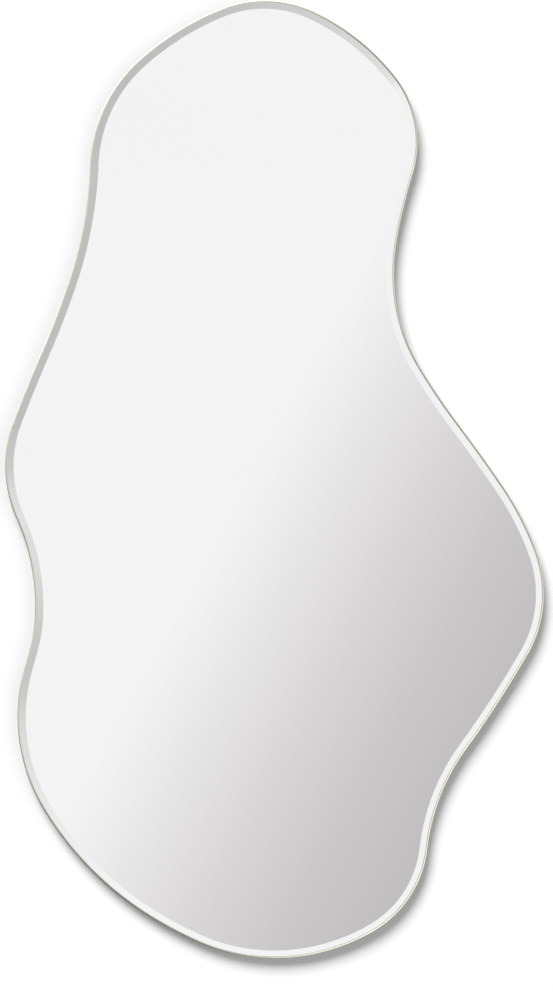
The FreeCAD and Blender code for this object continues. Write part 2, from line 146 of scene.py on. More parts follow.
def arc_pair(start, end):
    """Two tangent arcs from one station to the next, with equal handles at both stations."""
    sum_x = math.cos(start.heading) + math.cos(end.heading)
    sum_z = math.sin(start.heading) + math.sin(end.heading)
    lead = (end.x - start.x) * sum_x + (end.z - start.z) * sum_z
    spread = 2 * (1 - math.cos(end.heading - start.heading))
    reach = (end.x - start.x) ** 2 + (end.z - start.z) ** 2
    handle = reach / (lead + math.sqrt(lead ** 2 + spread * reach))
    meet_x = (start.x + end.x + handle * (math.cos(start.heading) - math.cos(end.heading))) / 2
    meet_z = (start.z + end.z + handle * (math.sin(start.heading) - math.sin(end.heading))) / 2
    first = arc_to(start, meet_x, meet_z)
    return [first, arc_to(along(first, first.length), end.x, end.z)]


def station_spots():
    spots = []
    for across, up, heading in STATIONS.values():
        x = DRAWING_MIDDLE[0] + across * MM
        z = DRAWING_MIDDLE[1] + up * MM
        spots.append(Spot(x, z, math.radians(heading)))
    return spots


def outline_arcs():
    spots = station_spots()
    arcs = []
    for start, end in zip(spots, spots[1:] + spots[:1]):
        arcs += arc_pair(start, end)
    return arcs


OUTLINE = outline_arcs()
PERIMETER = sum(arc.length for arc in OUTLINE)


def distance_of(station):
    """How far a station lies along the outline from the crown seam."""
    return sum(arc.length for arc in OUTLINE[:2 * list(STATIONS).index(station)])


def spots_between(start, end):
    """Evenly spaced spots and their distances, from one distance along the outline to another."""
    spots = []
    passed = 0.0
    for arc in OUTLINE:
        low = max(start - passed, 0.0)
        high = min(end - passed, arc.length)
        steps = math.ceil((high - low) / SPACING) if high - low > SPACING / 100 else 0
        for i in range(steps):
            distance = low + (high - low) * i / steps
            spots.append((along(arc, distance), passed + distance))
        if steps:
            last = (along(arc, high), passed + high)
        passed += arc.length
    return spots + [last]


def inside(spot, inset, y):
    """A point inside the outline, square to the edge at a spot."""
    x = spot.x + inset * math.sin(spot.heading)
    z = spot.z - inset * math.cos(spot.heading)
    return Vector((x, y, z))


def nearest_spot(point):
    """The spot on the outline nearest to a point."""
    spots = (spot for spot, _ in spots_between(0.0, PERIMETER))
    return min(spots, key=lambda spot: (spot.x - point.x) ** 2 + (spot.z - point.z) ** 2)


# ---- mesh helpers ------------------------------------------------------------------------------
def finished(name, bm, materials, smooth_angle=None):
    """Turns a bmesh into an object with its materials, normals out."""
    bmesh.ops.recalc_face_normals(bm, faces=bm.faces)
    mesh = bpy.data.meshes.new(name)
    bm.to_mesh(mesh)
    bm.free()
    for material in materials:
        mesh.materials.append(material)
    if smooth_angle is not None:
        mesh.shade_smooth()
        mesh.set_sharp_from_angle(angle=math.radians(smooth_angle))
    piece = bpy.data.objects.new(name, mesh)
    bpy.context.scene.collection.objects.link(piece)
    return piece


def sheet_in_outline(name, profile, materials, slots):
    """A closed sheet whose rim runs through profile points of (inset, y, drift), back to front.

    slots gives the material of the back, of each step of the rim, and of the front."""
    bm = bmesh.new()
    spots = [spot for spot, _ in spots_between(0.0, PERIMETER)][:-1]
    loops = [[bm.verts.new(inside(spot, inset, y) + drift) for spot in spots]
             for inset, y, drift in profile]
    for low, high, slot in zip(loops, loops[1:], slots[1:-1]):
        for i in range(len(spots)):
            j = (i + 1) % len(spots)
            face = bm.faces.new((low[i], low[j], high[j], high[i]))
            face.material_index = slot
    for loop, slot in ((loops[0], slots[0]), (loops[-1], slots[-1])):
        face = bm.faces.new(loop)
        face.material_index = slot
        face.normal_update()
        bmesh.ops.triangulate(bm, faces=[face])
    return finished(name, bm, materials)


def lathe(bm, profile, steps):
    """A turned form round Z from (radius, z) points, poles closed."""
    rings = []
    for radius, z in profile:
        if radius == 0:
            rings.append([bm.verts.new((0, 0, z))] * steps)
        else:
            turns = [2 * math.pi * i / steps for i in range(steps)]
            places = [(radius * math.cos(turn), radius * math.sin(turn), z) for turn in turns]
            rings.append([bm.verts.new(place) for place in places])
    for low, high in zip(rings, rings[1:]):
        for i in range(steps):
            j = (i + 1) % steps
            corners = [low[i], low[j], high[j], high[i]]
            bm.faces.new(list(dict.fromkeys(corners)))


def quarter(middle, radius, start, steps=ROUND_STEPS):
    """Points of a quarter turn, from an angle in degrees on, in the plane of the profile."""
    turns = [math.radians(start + 90 * i / steps) for i in range(steps + 1)]
    return [(middle[0] + radius * math.cos(turn), middle[1] + radius * math.sin(turn))
            for turn in turns]


# ---- material helpers --------------------------------------------------------------------------
def add(tree, kind, **inputs):
    """Adds a node, sets its properties and its inputs, and joins the linked ones.

    An input is given by its name, or by an underscore and its number."""
    node = tree.nodes.new(kind)
    for name, value in inputs.items():
        if hasattr(node, name):
            setattr(node, name, value)
            continue
        key = int(name[1:]) if name[0] == "_" else name.replace("_", " ")
        socket = node.inputs[key]
        if isinstance(value, bpy.types.NodeSocket):
            tree.links.new(value, socket)
        else:
            socket.default_value = value
    return node


def ramp(tree, factor, stops):
    """A colour ramp through (place, colour) stops."""
    node = add(tree, "ShaderNodeValToRGB", Fac=factor)
    elements = node.color_ramp.elements
    while len(elements) < len(stops):
        elements.new(1.0)
    for element, (place, colour) in zip(elements, stops):
        element.position = place
        element.color = (*colour, 1.0)
    return node.outputs["Color"]


def grey(level):
    return (level, level, level)


def shaded(level):
    """The light that a display value from 0 to 255 stands for."""
    value = level / 255
    return ((value + 0.055) / 1.055) ** 2.4


def new_group(name, numbers, results):
    """An empty shader group with named number inputs and named results."""
    group = bpy.data.node_groups.new(name, "ShaderNodeTree")
    for socket, value in numbers.items():
        made = group.interface.new_socket(socket, in_out="INPUT", socket_type="NodeSocketFloat")
        made.default_value = value
    for socket, kind in results.items():
        group.interface.new_socket(socket, in_out="OUTPUT", socket_type=kind)
    return group, group.nodes.new("NodeGroupInput"), group.nodes.new("NodeGroupOutput")


def grain_group():
    """Fine even grain with slow drift: a mask and a height, both from 0 to 1."""
    numbers = {"Grain Scale": 900.0, "Drift Scale": 6.0, "Drift Share": 0.5}
    results = {"Mask": "NodeSocketFloat", "Height": "NodeSocketFloat"}
    group, given, out = new_group("fine_grain", numbers, results)
    place = add(group, "ShaderNodeTexCoord").outputs["Object"]
    fine = add(group, "ShaderNodeTexNoise", Vector=place, Scale=given.outputs["Grain Scale"],
               Detail=2.0, Roughness=0.6)
    slow = add(group, "ShaderNodeTexNoise", Vector=place, Scale=given.outputs["Drift Scale"],
               Detail=3.0, Roughness=0.5)
    both = add(group, "ShaderNodeMix", Factor=given.outputs["Drift Share"],
               _2=fine.outputs["Fac"], _3=slow.outputs["Fac"])
    group.links.new(both.outputs[0], out.inputs["Mask"])
    group.links.new(fine.outputs["Fac"], out.inputs["Height"])
    return group


def dust_group():
    """Dust that settles on what faces up, broken by noise: a mask from 0 to 1."""
    group, given, out = new_group("settled_dust", {"Amount": 0.3}, {"Mask": "NodeSocketFloat"})
    normal = add(group, "ShaderNodeNewGeometry").outputs["Normal"]
    up = add(group, "ShaderNodeSeparateXYZ", _0=normal).outputs["Z"]
    lying = add(group, "ShaderNodeMapRange", _0=up, _1=0.3, _2=1.0, _3=0.0, _4=1.0)
    place = add(group, "ShaderNodeTexCoord").outputs["Object"]
    patches = add(group, "ShaderNodeTexNoise", Vector=place, Scale=400.0, Detail=3.0)
    broken = add(group, "ShaderNodeMath", operation="MULTIPLY",
                 _0=lying.outputs[0], _1=patches.outputs["Fac"])
    amount = add(group, "ShaderNodeMath", operation="MULTIPLY", use_clamp=True,
                 _0=broken.outputs[0], _1=given.outputs["Amount"])
    group.links.new(amount.outputs[0], out.inputs["Mask"])
    return group


def edge_wear_group():
    """Where hands and cloths rub the edges bright, broken by noise: a mask from 0 to 1."""
    group, given, out = new_group("edge_wear", {"Amount": 0.8}, {"Mask": "NodeSocketFloat"})
    point = add(group, "ShaderNodeNewGeometry").outputs["Pointiness"]
    sharp = add(group, "ShaderNodeMapRange", _0=point, _1=0.52, _2=0.62, _3=0.0, _4=1.0)
    place = add(group, "ShaderNodeTexCoord").outputs["Object"]
    patches = add(group, "ShaderNodeTexNoise", Vector=place, Scale=90.0, Detail=4.0)
    rubbed = add(group, "ShaderNodeMapRange", _0=patches.outputs["Fac"], _1=0.35, _2=0.6,
                 _3=0.2, _4=1.0)
    both = add(group, "ShaderNodeMath", operation="MULTIPLY", _0=sharp.outputs[0],
               _1=rubbed.outputs[0])
    amount = add(group, "ShaderNodeMath", operation="MULTIPLY", use_clamp=True,
                 _0=both.outputs[0], _1=given.outputs["Amount"])
    group.links.new(amount.outputs[0], out.inputs["Mask"])
    return group


GRAIN = grain_group()
DUST = dust_group()
EDGE_WEAR = edge_wear_group()
DUST_TONE = (0.55, 0.53, 0.50, 1.0)


def new_material(name, **settings):
    """A material with a Principled shader and its plain settings."""
    material = bpy.data.materials.new(name)
    material.use_nodes = True
    tree = material.node_tree
    shader = tree.nodes["Principled BSDF"]
    for socket, value in settings.items():
        shader.inputs[socket.replace("_", " ")].default_value = value
    return material, tree, shader


def grained(name, dark, pale, rough, relief, grain_scale, drift_scale, dust, **settings):
    """A material whose colour, roughness and relief follow the grain, with dust on top.

    rough is the least and the most roughness, and relief how deep the grain looks."""
    material, tree, shader = new_material(name, **settings)
    grain = add(tree, "ShaderNodeGroup", node_tree=GRAIN)
    grain.inputs["Grain Scale"].default_value = grain_scale
    grain.inputs["Drift Scale"].default_value = drift_scale
    colour = ramp(tree, grain.outputs["Mask"], [(0.35, dark), (0.65, pale)])
    settled = add(tree, "ShaderNodeGroup", node_tree=DUST)
    settled.inputs["Amount"].default_value = dust
    dusty = add(tree, "ShaderNodeMix", data_type="RGBA", _0=settled.outputs["Mask"], _6=colour,
                _7=DUST_TONE)
    tree.links.new(dusty.outputs[2], shader.inputs["Base Color"])
    spread = add(tree, "ShaderNodeMapRange", _0=grain.outputs["Mask"], _1=0.3, _2=0.7,
                 _3=rough[0], _4=rough[1])
    tree.links.new(spread.outputs[0], shader.inputs["Roughness"])
    bump = add(tree, "ShaderNodeBump", Strength=0.5, Distance=relief,
               Height=grain.outputs["Height"])
    tree.links.new(bump.outputs["Normal"], shader.inputs["Normal"])
    return material


# ---- the finishes ------------------------------------------------------------------------------
def silvered_glass():
    """Silver seen through clear glass, wiped clean, with the faintest bloom."""
    material, tree, shader = new_material("silvered_glass", Metallic=1.0, Roughness=0.0)
    place = add(tree, "ShaderNodeTexCoord").outputs["Object"]
    bloom = add(tree, "ShaderNodeTexNoise", Vector=place, Scale=2.2, Detail=2.0)
    wiped = ramp(tree, bloom.outputs["Fac"],
                 [(0.3, (0.990, 0.990, 0.992)), (0.7, (0.999, 0.998, 0.998))])
    tree.links.new(wiped, shader.inputs["Base Color"])
    return material


def brushed_brass(name, dark, pale, worn_tone, rough, line_scale):
    """Brass strip brushed along its length, darkest in the brush lines, rubbed bright on edges."""
    material, tree, shader = new_material(name, Metallic=1.0)
    reach = add(tree, "ShaderNodeAttribute", attribute_name="along_strip").outputs["Fac"]
    turn = add(tree, "ShaderNodeAttribute", attribute_name="round_strip").outputs["Fac"]
    place = add(tree, "ShaderNodeCombineXYZ", X=reach, Y=turn).outputs[0]
    stretched = add(tree, "ShaderNodeVectorMath", operation="MULTIPLY", _0=place,
                    _1=(12.0, line_scale, 1.0))
    lines = add(tree, "ShaderNodeTexNoise", Vector=stretched.outputs[0], Scale=1.0, Detail=4.0,
                Roughness=0.65)
    tarnish = add(tree, "ShaderNodeTexNoise", Vector=place, Scale=9.0, Detail=2.0)
    mask = add(tree, "ShaderNodeMix", Factor=0.45, _2=lines.outputs["Fac"],
               _3=tarnish.outputs["Fac"])
    colour = ramp(tree, mask.outputs[0], [(0.3, dark), (0.7, pale)])
    rim = add(tree, "ShaderNodeGroup", node_tree=EDGE_WEAR).outputs["Mask"]
    worn = add(tree, "ShaderNodeMix", data_type="RGBA", _0=rim, _6=colour, _7=(*worn_tone, 1.0))
    tree.links.new(worn.outputs[2], shader.inputs["Base Color"])
    spread = add(tree, "ShaderNodeMapRange", _0=mask.outputs[0], _1=0.3, _2=0.7,
                 _3=rough[0], _4=rough[1])
    tree.links.new(spread.outputs[0], shader.inputs["Roughness"])
    bump = add(tree, "ShaderNodeBump", Strength=0.25, Distance=0.02 * MM,
               Height=lines.outputs["Fac"])
    tree.links.new(bump.outputs["Normal"], shader.inputs["Normal"])
    return material


SILVERED_GLASS = silvered_glass()
GROUND_EDGE = grained("ground_glass_edge", (0.22, 0.42, 0.36), (0.34, 0.55, 0.48),
                      rough=(0.35, 0.5), relief=0.02 * MM, grain_scale=1500.0, drift_scale=12.0,
                      dust=0.1)
BACK_PAINT = grained("mirror_back_paint", (0.16, 0.18, 0.18), (0.20, 0.22, 0.22),
                     rough=(0.55, 0.7), relief=0.02 * MM, grain_scale=700.0, drift_scale=5.0,
                     dust=0.1)
BAND_BRASS = brushed_brass("band_brass", (0.52, 0.51, 0.40), (0.70, 0.69, 0.57),
                           worn_tone=(0.76, 0.74, 0.63), rough=(0.14, 0.28), line_scale=5200.0)
BLACK_BOARD = grained("sealed_black_board", (0.008, 0.008, 0.009), (0.034, 0.032, 0.031),
                      rough=(0.48, 0.74), relief=0.12 * MM, grain_scale=800.0, drift_scale=18.0,
                      dust=0.25)
ZINC = grained("zinc_plate", (0.52, 0.53, 0.55), (0.70, 0.71, 0.72), rough=(0.24, 0.38),
               relief=0.01 * MM, grain_scale=1800.0, drift_scale=160.0, dust=0.2, Metallic=1.0)
SCREW_ZINC = grained("screw_zinc", (0.58, 0.56, 0.50), (0.76, 0.75, 0.70), rough=(0.20, 0.34),
                     relief=0.01 * MM, grain_scale=2200.0, drift_scale=300.0, dust=0.15,
                     Metallic=1.0)
RAW_BRASS = grained("raw_brass", (0.50, 0.38, 0.16), (0.68, 0.53, 0.25), rough=(0.28, 0.42),
                    relief=0.01 * MM, grain_scale=1400.0, drift_scale=90.0, dust=0.2,
                    Metallic=1.0)
NICKEL = grained("nickel_wire", (0.62, 0.60, 0.56), (0.74, 0.72, 0.68), rough=(0.12, 0.22),
                 relief=0.005 * MM, grain_scale=2400.0, drift_scale=140.0, dust=0.1,
                 Metallic=1.0)
SOLDER = grained("solder", (0.42, 0.42, 0.42), (0.62, 0.62, 0.61), rough=(0.30, 0.50),
                 relief=0.05 * MM, grain_scale=900.0, drift_scale=200.0, dust=0.1, Metallic=1.0)
RUBBER = grained("bumper_rubber", (0.012, 0.012, 0.012), (0.024, 0.024, 0.024),
                 rough=(0.62, 0.78), relief=0.03 * MM, grain_scale=1300.0, drift_scale=60.0,
                 dust=0.3)
FOAM = grained("foam_tape", (0.66, 0.66, 0.64), (0.78, 0.78, 0.76), rough=(0.8, 0.9),
               relief=0.08 * MM, grain_scale=1600.0, drift_scale=40.0, dust=0.1)
FILM = grained("splinter_film", (0.36, 0.38, 0.40), (0.44, 0.46, 0.48), rough=(0.30, 0.42),
               relief=0.01 * MM, grain_scale=500.0, drift_scale=8.0, dust=0.1)


# ---- glass and board ---------------------------------------------------------------------------
def mirror_sheet():
    """Float glass, silvered, with a flat bevel that meets the face in a fine polished line."""
    foot = GLASS_FRONT + BEVEL_DEPTH
    rise = BEVEL_DEPTH / BEVEL_WIDTH
    brow_inset = GLASS_INSET + BEVEL_WIDTH
    profile = [
        (GLASS_INSET + GLASS_SEAM, GLASS_BACK, NO_DRIFT),
        (GLASS_INSET, GLASS_BACK - GLASS_SEAM, NO_DRIFT),
        (GLASS_INSET, foot, NO_DRIFT),
        (brow_inset - BEVEL_BROW / 2, GLASS_FRONT + rise * BEVEL_BROW / 2, BEVEL_DRIFT),
        (brow_inset + BEVEL_BROW / 2, GLASS_FRONT, BEVEL_DRIFT),
    ]
    sheet = sheet_in_outline("mirror_sheet", profile, [SILVERED_GLASS, GROUND_EDGE, BACK_PAINT],
                             [2, 1, 1, 0, 0, 0])
    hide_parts("mirror_glass")
    return sheet


def backing_panel():
    """The board, its back edge eased all round."""
    profile = [
        (BOARD_INSET + BOARD_ARRIS, BOARD_BACK, NO_DRIFT),
        (BOARD_INSET, BOARD_BACK - BOARD_ARRIS, NO_DRIFT),
        (BOARD_INSET, BOARD_FRONT, NO_DRIFT),
    ]
    panel = sheet_in_outline("backing_panel", profile, [BLACK_BOARD], [0, 0, 0, 0])
    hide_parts("back_board")
    return panel


# ---- band --------------------------------------------------------------------------------------
def band_profile():
    """Round the strip's section as (inset, y), from its rear outer corner round the front."""
    rear = BAND_REAR - BAND_REAR_ARRIS
    inner = BAND_THICKNESS - BAND_ARRIS
    points = [(0.0, rear)]
    points += quarter((BAND_NOSE, BAND_FRONT + BAND_NOSE), BAND_NOSE, 180, NOSE_STEPS)
    points += quarter((inner, BAND_FRONT + BAND_ARRIS), BAND_ARRIS, 270)
    points += [(BAND_THICKNESS, rear), (BAND_THICKNESS - BAND_REAR_ARRIS, BAND_REAR)]
    points += [(BAND_REAR_ARRIS, BAND_REAR)]
    return points


def poly_curve(name, points, closed):
    curve = bpy.data.curves.new(name, "CURVE")
    curve.dimensions = "3D"
    spline = curve.splines.new("POLY")
    spline.points.add(len(points) - 1)
    for item, point in zip(spline.points, points):
        item.co = (*point, 1.0)
    spline.use_cyclic_u = closed
    line = bpy.data.objects.new(name, curve)
    bpy.context.scene.collection.objects.link(line)
    return line


def sweep_tree():
    """Runs a section along a flat path. Both lengths go with the mesh, for the brush lines."""
    tree = bpy.data.node_groups.new("run_along_path", "GeometryNodeTree")
    for name, kind in (("Geometry", "NodeSocketGeometry"), ("Section", "NodeSocketObject"),
                       ("Flat Way", "NodeSocketVector"), ("Finish", "NodeSocketMaterial")):
        tree.interface.new_socket(name, in_out="INPUT", socket_type=kind)
    tree.interface.new_socket("Geometry", in_out="OUTPUT", socket_type="NodeSocketGeometry")
    given = tree.nodes.new("NodeGroupInput").outputs
    out = tree.nodes.new("NodeGroupOutput")
    reach = add(tree, "GeometryNodeSplineParameter").outputs["Length"]
    path = add(tree, "GeometryNodeSetCurveNormal", mode="FREE", Curve=given["Geometry"],
               Normal=given["Flat Way"])
    path = add(tree, "GeometryNodeStoreNamedAttribute", Geometry=path.outputs["Curve"],
               Name="along_strip", Value=reach)
    section = add(tree, "GeometryNodeObjectInfo", Object=given["Section"])
    section = add(tree, "GeometryNodeStoreNamedAttribute", Geometry=section.outputs["Geometry"],
                  Name="round_strip", Value=reach)
    strip = add(tree, "GeometryNodeCurveToMesh", Curve=path.outputs["Geometry"],
                Profile_Curve=section.outputs["Geometry"])
    strip.inputs["Fill Caps"].default_value = True
    real = add(tree, "GeometryNodeRealizeInstances", Geometry=strip.outputs["Mesh"])
    finish = add(tree, "GeometryNodeSetMaterial", Geometry=real.outputs["Geometry"],
                 Material=given["Finish"])
    tree.links.new(finish.outputs["Geometry"], out.inputs["Geometry"])
    return tree


SWEEP = sweep_tree()


def plain_mesh(name, carrier, tree, values):
    """Runs a tree on a carrier with its named inputs, and returns the result as a plain mesh."""
    modifier = carrier.modifiers.new(tree.name, "NODES")
    modifier.node_group = tree
    for item in tree.interface.items_tree:
        if item.in_out == "INPUT" and item.name in values:
            modifier[item.identifier] = values[item.name]
    seen = carrier.evaluated_get(bpy.context.evaluated_depsgraph_get())
    mesh = bpy.data.meshes.new_from_object(seen)
    mesh.name = name
    bpy.data.objects.remove(carrier)
    return mesh


def band_length(name, start, end):
    """One length of brass strip, its section run along the outline."""
    spots = [spot for spot, _ in spots_between(start, end)]
    path = poly_curve("strip_path", [inside(spot, 0.0, 0.0) for spot in spots], False)
    section = poly_curve("strip_section", [(y, -inset, 0.0) for inset, y in band_profile()], True)
    values = {"Section": section, "Flat Way": (0.0, 1.0, 0.0), "Finish": BAND_BRASS}
    mesh = plain_mesh(f"brass_band_{name}", path, SWEEP, values)
    bpy.data.objects.remove(section)
    bm = bmesh.new()
    bm.from_mesh(mesh)
    piece = finished(mesh.name, bm, [BAND_BRASS], smooth_angle=50)
    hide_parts(f"band_{name}")
    return piece


def band_lengths():
    places = [(distance_of(seam), gap) for seam, gap in SEAM_GAPS.items()]
    nexts = places[1:] + [(PERIMETER, places[0][1])]
    pieces = []
    for name, (start, gap), (end, next_gap) in zip(BAND_LENGTHS, places, nexts):
        pieces.append(band_length(name, start + gap / 2, end - next_gap / 2))
    return pieces


# ---- repeated fittings -------------------------------------------------------------------------
WOOD_HEAD = (7.0 * MM, 2.4 * MM)          # a screw's head: across, high
WOOD_SHANK = 3.5 * MM
PLATE_HEAD = (5.6 * MM, 1.8 * MM)
PLATE_SHANK = 3.0 * MM
PLATE_SCREW_LENGTH = 4.1 * MM
PLATE_SCREW_SEAT = 4.6 * MM               # from the outline in to the underside of the head
PAN_HEAD = [(1.0, 0.0), (1.0, 0.45), (0.95, 0.75), (0.85, 0.93), (0.72, 1.0)]
SLOT_MOUTH = (0.56, 0.12, 1.0)            # reach, half width and height, in shares of the head
SLOT_FOOT = (0.30, 0.08, 0.4)
SCREW_SIDES = 28
STRAP_SEED, BOARD_SEED, PLATE_SEED = 7, 11, 5

BUMPER_EDGE = 1.2 * MM                    # rounding of the face that meets the wall
BUMPER_ARRIS = 0.4 * MM
BUMPER_DISH = [(0.55, 0.0), (0.45, 0.5 * MM), (0.0, 0.6 * MM)]    # share of the radius, depth
BUMPER_SIDES = 48
BUMPER_SEED = 1

BEAD_PROFILE = [(0, -3.4 * MM), (0.5 * MM, -3.1 * MM), (0.8 * MM, -1.5 * MM), (0.7 * MM, 0),
                (0.85 * MM, 1.4 * MM), (0.5 * MM, 3.0 * MM), (0, 3.3 * MM)]
BEAD_SIDES = 10
BEAD_OFF_BAND = 0.45 * MM
BEAD_DEPTH = 4.2 * MM                     # from the lug's rear end forward to the bead's middle
BEAD_SEED = 3
LUG_HALF_WIDTH = 7.0 * MM


def islands(node):
    """The lowest and highest corners of each separate solid in a CAD node."""
    bm = bmesh.new()
    bm.from_mesh(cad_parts[node].data)
    bmesh.ops.remove_doubles(bm, verts=bm.verts, dist=0.001 * MM)
    left = set(bm.verts)
    boxes = []
    while left:
        group = {left.pop()}
        edge = list(group)
        while edge:
            vert = edge.pop()
            for other in (link.other_vert(vert) for link in vert.link_edges):
                if other in left:
                    left.discard(other)
                    group.add(other)
                    edge.append(other)
        points = [vert.co for vert in group]
        low = Vector(min(point[axis] for point in points) for axis in range(3))
        high = Vector(max(point[axis] for point in points) for axis in range(3))
        boxes.append((low, high))
    bm.free()
    return boxes


def setting_tree():
    """Sets one pattern on every point, turned to the point's own way, with a seeded spin."""
    tree = bpy.data.node_groups.new("set_on_points", "GeometryNodeTree")
    for name, kind in (("Geometry", "NodeSocketGeometry"), ("Pattern", "NodeSocketObject"),
                       ("Finish", "NodeSocketMaterial"), ("Most Spin", "NodeSocketFloat"),
                       ("Seed", "NodeSocketInt")):
        tree.interface.new_socket(name, in_out="INPUT", socket_type=kind)
    tree.interface.new_socket("Geometry", in_out="OUTPUT", socket_type="NodeSocketGeometry")
    given = tree.nodes.new("NodeGroupInput").outputs
    out = tree.nodes.new("NodeGroupOutput")
    pattern = add(tree, "GeometryNodeObjectInfo", Object=given["Pattern"])
    way = add(tree, "GeometryNodeInputNamedAttribute", data_type="FLOAT_VECTOR", Name="way")
    facing = add(tree, "FunctionNodeAlignRotationToVector", axis="Z",
                 Vector=way.outputs["Attribute"])
    spin = add(tree, "FunctionNodeRandomValue", data_type="FLOAT", _2=0.0, _3=given["Most Spin"],
               Seed=given["Seed"])
    turn = add(tree, "ShaderNodeCombineXYZ", Z=spin.outputs[1])
    turned = add(tree, "FunctionNodeRotateRotation", rotation_space="LOCAL",
                 Rotation=facing.outputs["Rotation"], _1=turn.outputs[0])
    placed = add(tree, "GeometryNodeInstanceOnPoints", Points=given["Geometry"],
                 Instance=pattern.outputs["Geometry"], Rotation=turned.outputs["Rotation"])
    real = add(tree, "GeometryNodeRealizeInstances", Geometry=placed.outputs["Instances"])
    finish = add(tree, "GeometryNodeSetMaterial", Geometry=real.outputs["Geometry"],
                 Material=given["Finish"])
    tree.links.new(finish.outputs["Geometry"], out.inputs["Geometry"])
    return tree


SETTING = setting_tree()


def set_on_points(name, pattern, places, finish, most_spin, seed):
    """One plain mesh of a pattern set at each (point, way)."""
    mesh = bpy.data.meshes.new(name + "_points")
    mesh.from_pydata([point for point, _ in places], [], [])
    ways = mesh.attributes.new("way", "FLOAT_VECTOR", "POINT")
    for item, (_, way) in zip(ways.data, places):
        item.vector = way
    carrier = bpy.data.objects.new(name + "_points", mesh)
    bpy.context.scene.collection.objects.link(carrier)
    values = {"Pattern": pattern, "Finish": finish, "Most Spin": most_spin, "Seed": seed}
    made = plain_mesh(name, carrier, SETTING, values)
    piece = bpy.data.objects.new(name, made)
    bpy.context.scene.collection.objects.link(piece)
    bpy.data.objects.remove(pattern)
    return piece


def cross(bm, reach, half_width, z):
    """The corners of a plus-shaped slot at a height."""
    quadrant = [(reach, -half_width), (reach, half_width), (half_width, half_width)]
    corners = []
    for turn in range(4):
        spin = Matrix.Rotation(turn * math.pi / 2, 3, "Z")
        corners += [bm.verts.new(spin @ Vector((x, y, z))) for x, y in quadrant]
    return corners


def pan_screw(name, head_diameter, head_height, shank_diameter, length):
    """A pan-head screw along +Z: the head's seat at 0, its cross slot above, the shank below."""
    head = head_diameter / 2
    shank = shank_diameter / 2
    profile = [(0, -length), (shank * 0.5, -length), (shank, -length + shank), (shank, 0)]
    profile += [(head * across, head_height * up) for across, up in PAN_HEAD]
    bm = bmesh.new()
    lathe(bm, profile, SCREW_SIDES)
    crown = [edge for edge in bm.edges if edge.is_boundary]
    mouth, foot = (cross(bm, head * reach, head * half_width, head_height * up)
                   for reach, half_width, up in (SLOT_MOUTH, SLOT_FOOT))
    for i in range(len(mouth)):
        j = (i + 1) % len(mouth)
        bm.faces.new((mouth[i], mouth[j], foot[j], foot[i]))
    bm.faces.new(foot)
    lip = [edge for edge in bm.edges if edge.is_boundary and edge not in crown]
    bmesh.ops.triangle_fill(bm, edges=crown + lip, use_beauty=True)
    return finished(name, bm, [], smooth_angle=35)


def wood_screws(name, node, seed):
    """Zinc-plated wood screws, each with its slot turned its own way."""
    boxes = islands(node)
    length = boxes[0][1].y - boxes[0][0].y - WOOD_HEAD[1]
    places = []
    for low, high in boxes:
        seat = Vector(((low.x + high.x) / 2, high.y - WOOD_HEAD[1], (low.z + high.z) / 2))
        places.append((seat, TO_WALL))
    pattern = pan_screw(name + "_pattern", *WOOD_HEAD, WOOD_SHANK, length)
    piece = set_on_points(name, pattern, places, SCREW_ZINC, math.pi, seed)
    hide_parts(node)
    return piece


def splice_screws():
    """Brass machine screws through the splice plates, heads inwards."""
    places = []
    for low, high in islands("splice_screws"):
        middle = (low + high) / 2
        near = nearest_spot(middle)
        inwards = Vector((math.sin(near.heading), 0, -math.cos(near.heading)))
        places.append((inside(near, PLATE_SCREW_SEAT, middle.y), inwards))
    pattern = pan_screw("plate_screw_pattern", *PLATE_HEAD, PLATE_SHANK, PLATE_SCREW_LENGTH)
    piece = set_on_points("plate_screws", pattern, places, RAW_BRASS, math.pi, PLATE_SEED)
    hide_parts("splice_screws")
    return piece


def rubber_bumpers():
    """Moulded rubber bumpers with a rounded face and a shallow dish."""
    nodes = [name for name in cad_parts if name.startswith("wall_bumper")]
    radius = (BUMPER_HIGH.x - BUMPER_LOW.x) / 2
    height = BUMPER_HIGH.y - BUMPER_LOW.y
    bm = bmesh.new()
    profile = [(0, 0), (radius - BUMPER_ARRIS, 0), (radius, BUMPER_ARRIS)]
    profile += quarter((radius - BUMPER_EDGE, height - BUMPER_EDGE), BUMPER_EDGE, 0)
    profile += [(radius * share, height - depth) for share, depth in BUMPER_DISH]
    lathe(bm, profile, BUMPER_SIDES)
    pattern = finished("bumper_pattern", bm, [], smooth_angle=45)
    places = []
    for node in nodes:
        low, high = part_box(node)
        seat = Vector(((low.x + high.x) / 2, low.y, (low.z + high.z) / 2))
        places.append((seat, TO_WALL))
    piece = set_on_points("rubber_bumpers", pattern, places, RUBBER, 0.0, BUMPER_SEED)
    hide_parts(*nodes)
    return piece


def solder_beads():
    """A bead of solder down each side of every lug, where it stands against the band."""
    bm = bmesh.new()
    lathe(bm, BEAD_PROFILE, BEAD_SIDES)
    pattern = finished("bead_pattern", bm, [], smooth_angle=60)
    places = []
    for node in (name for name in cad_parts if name.startswith("frame_lug")):
        low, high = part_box(node)
        near = nearest_spot((low + high) / 2)
        ahead = Vector((math.cos(near.heading), 0, math.sin(near.heading)))
        point = inside(near, BAND_THICKNESS + BEAD_OFF_BAND, high.y - BEAD_DEPTH)
        for side in (-1, 1):
            places.append((point + side * LUG_HALF_WIDTH * ahead, TO_WALL))
    piece = set_on_points("solder_beads", pattern, places, SOLDER, math.pi, BEAD_SEED)
    return piece


# ---- rings -------------------------------------------------------------------------------------
WIRE_RADIUS = 2.0 * MM
RING_CORNER = 4.0 * MM
BOW_STEPS = 40
WIRE_SIDES = 24


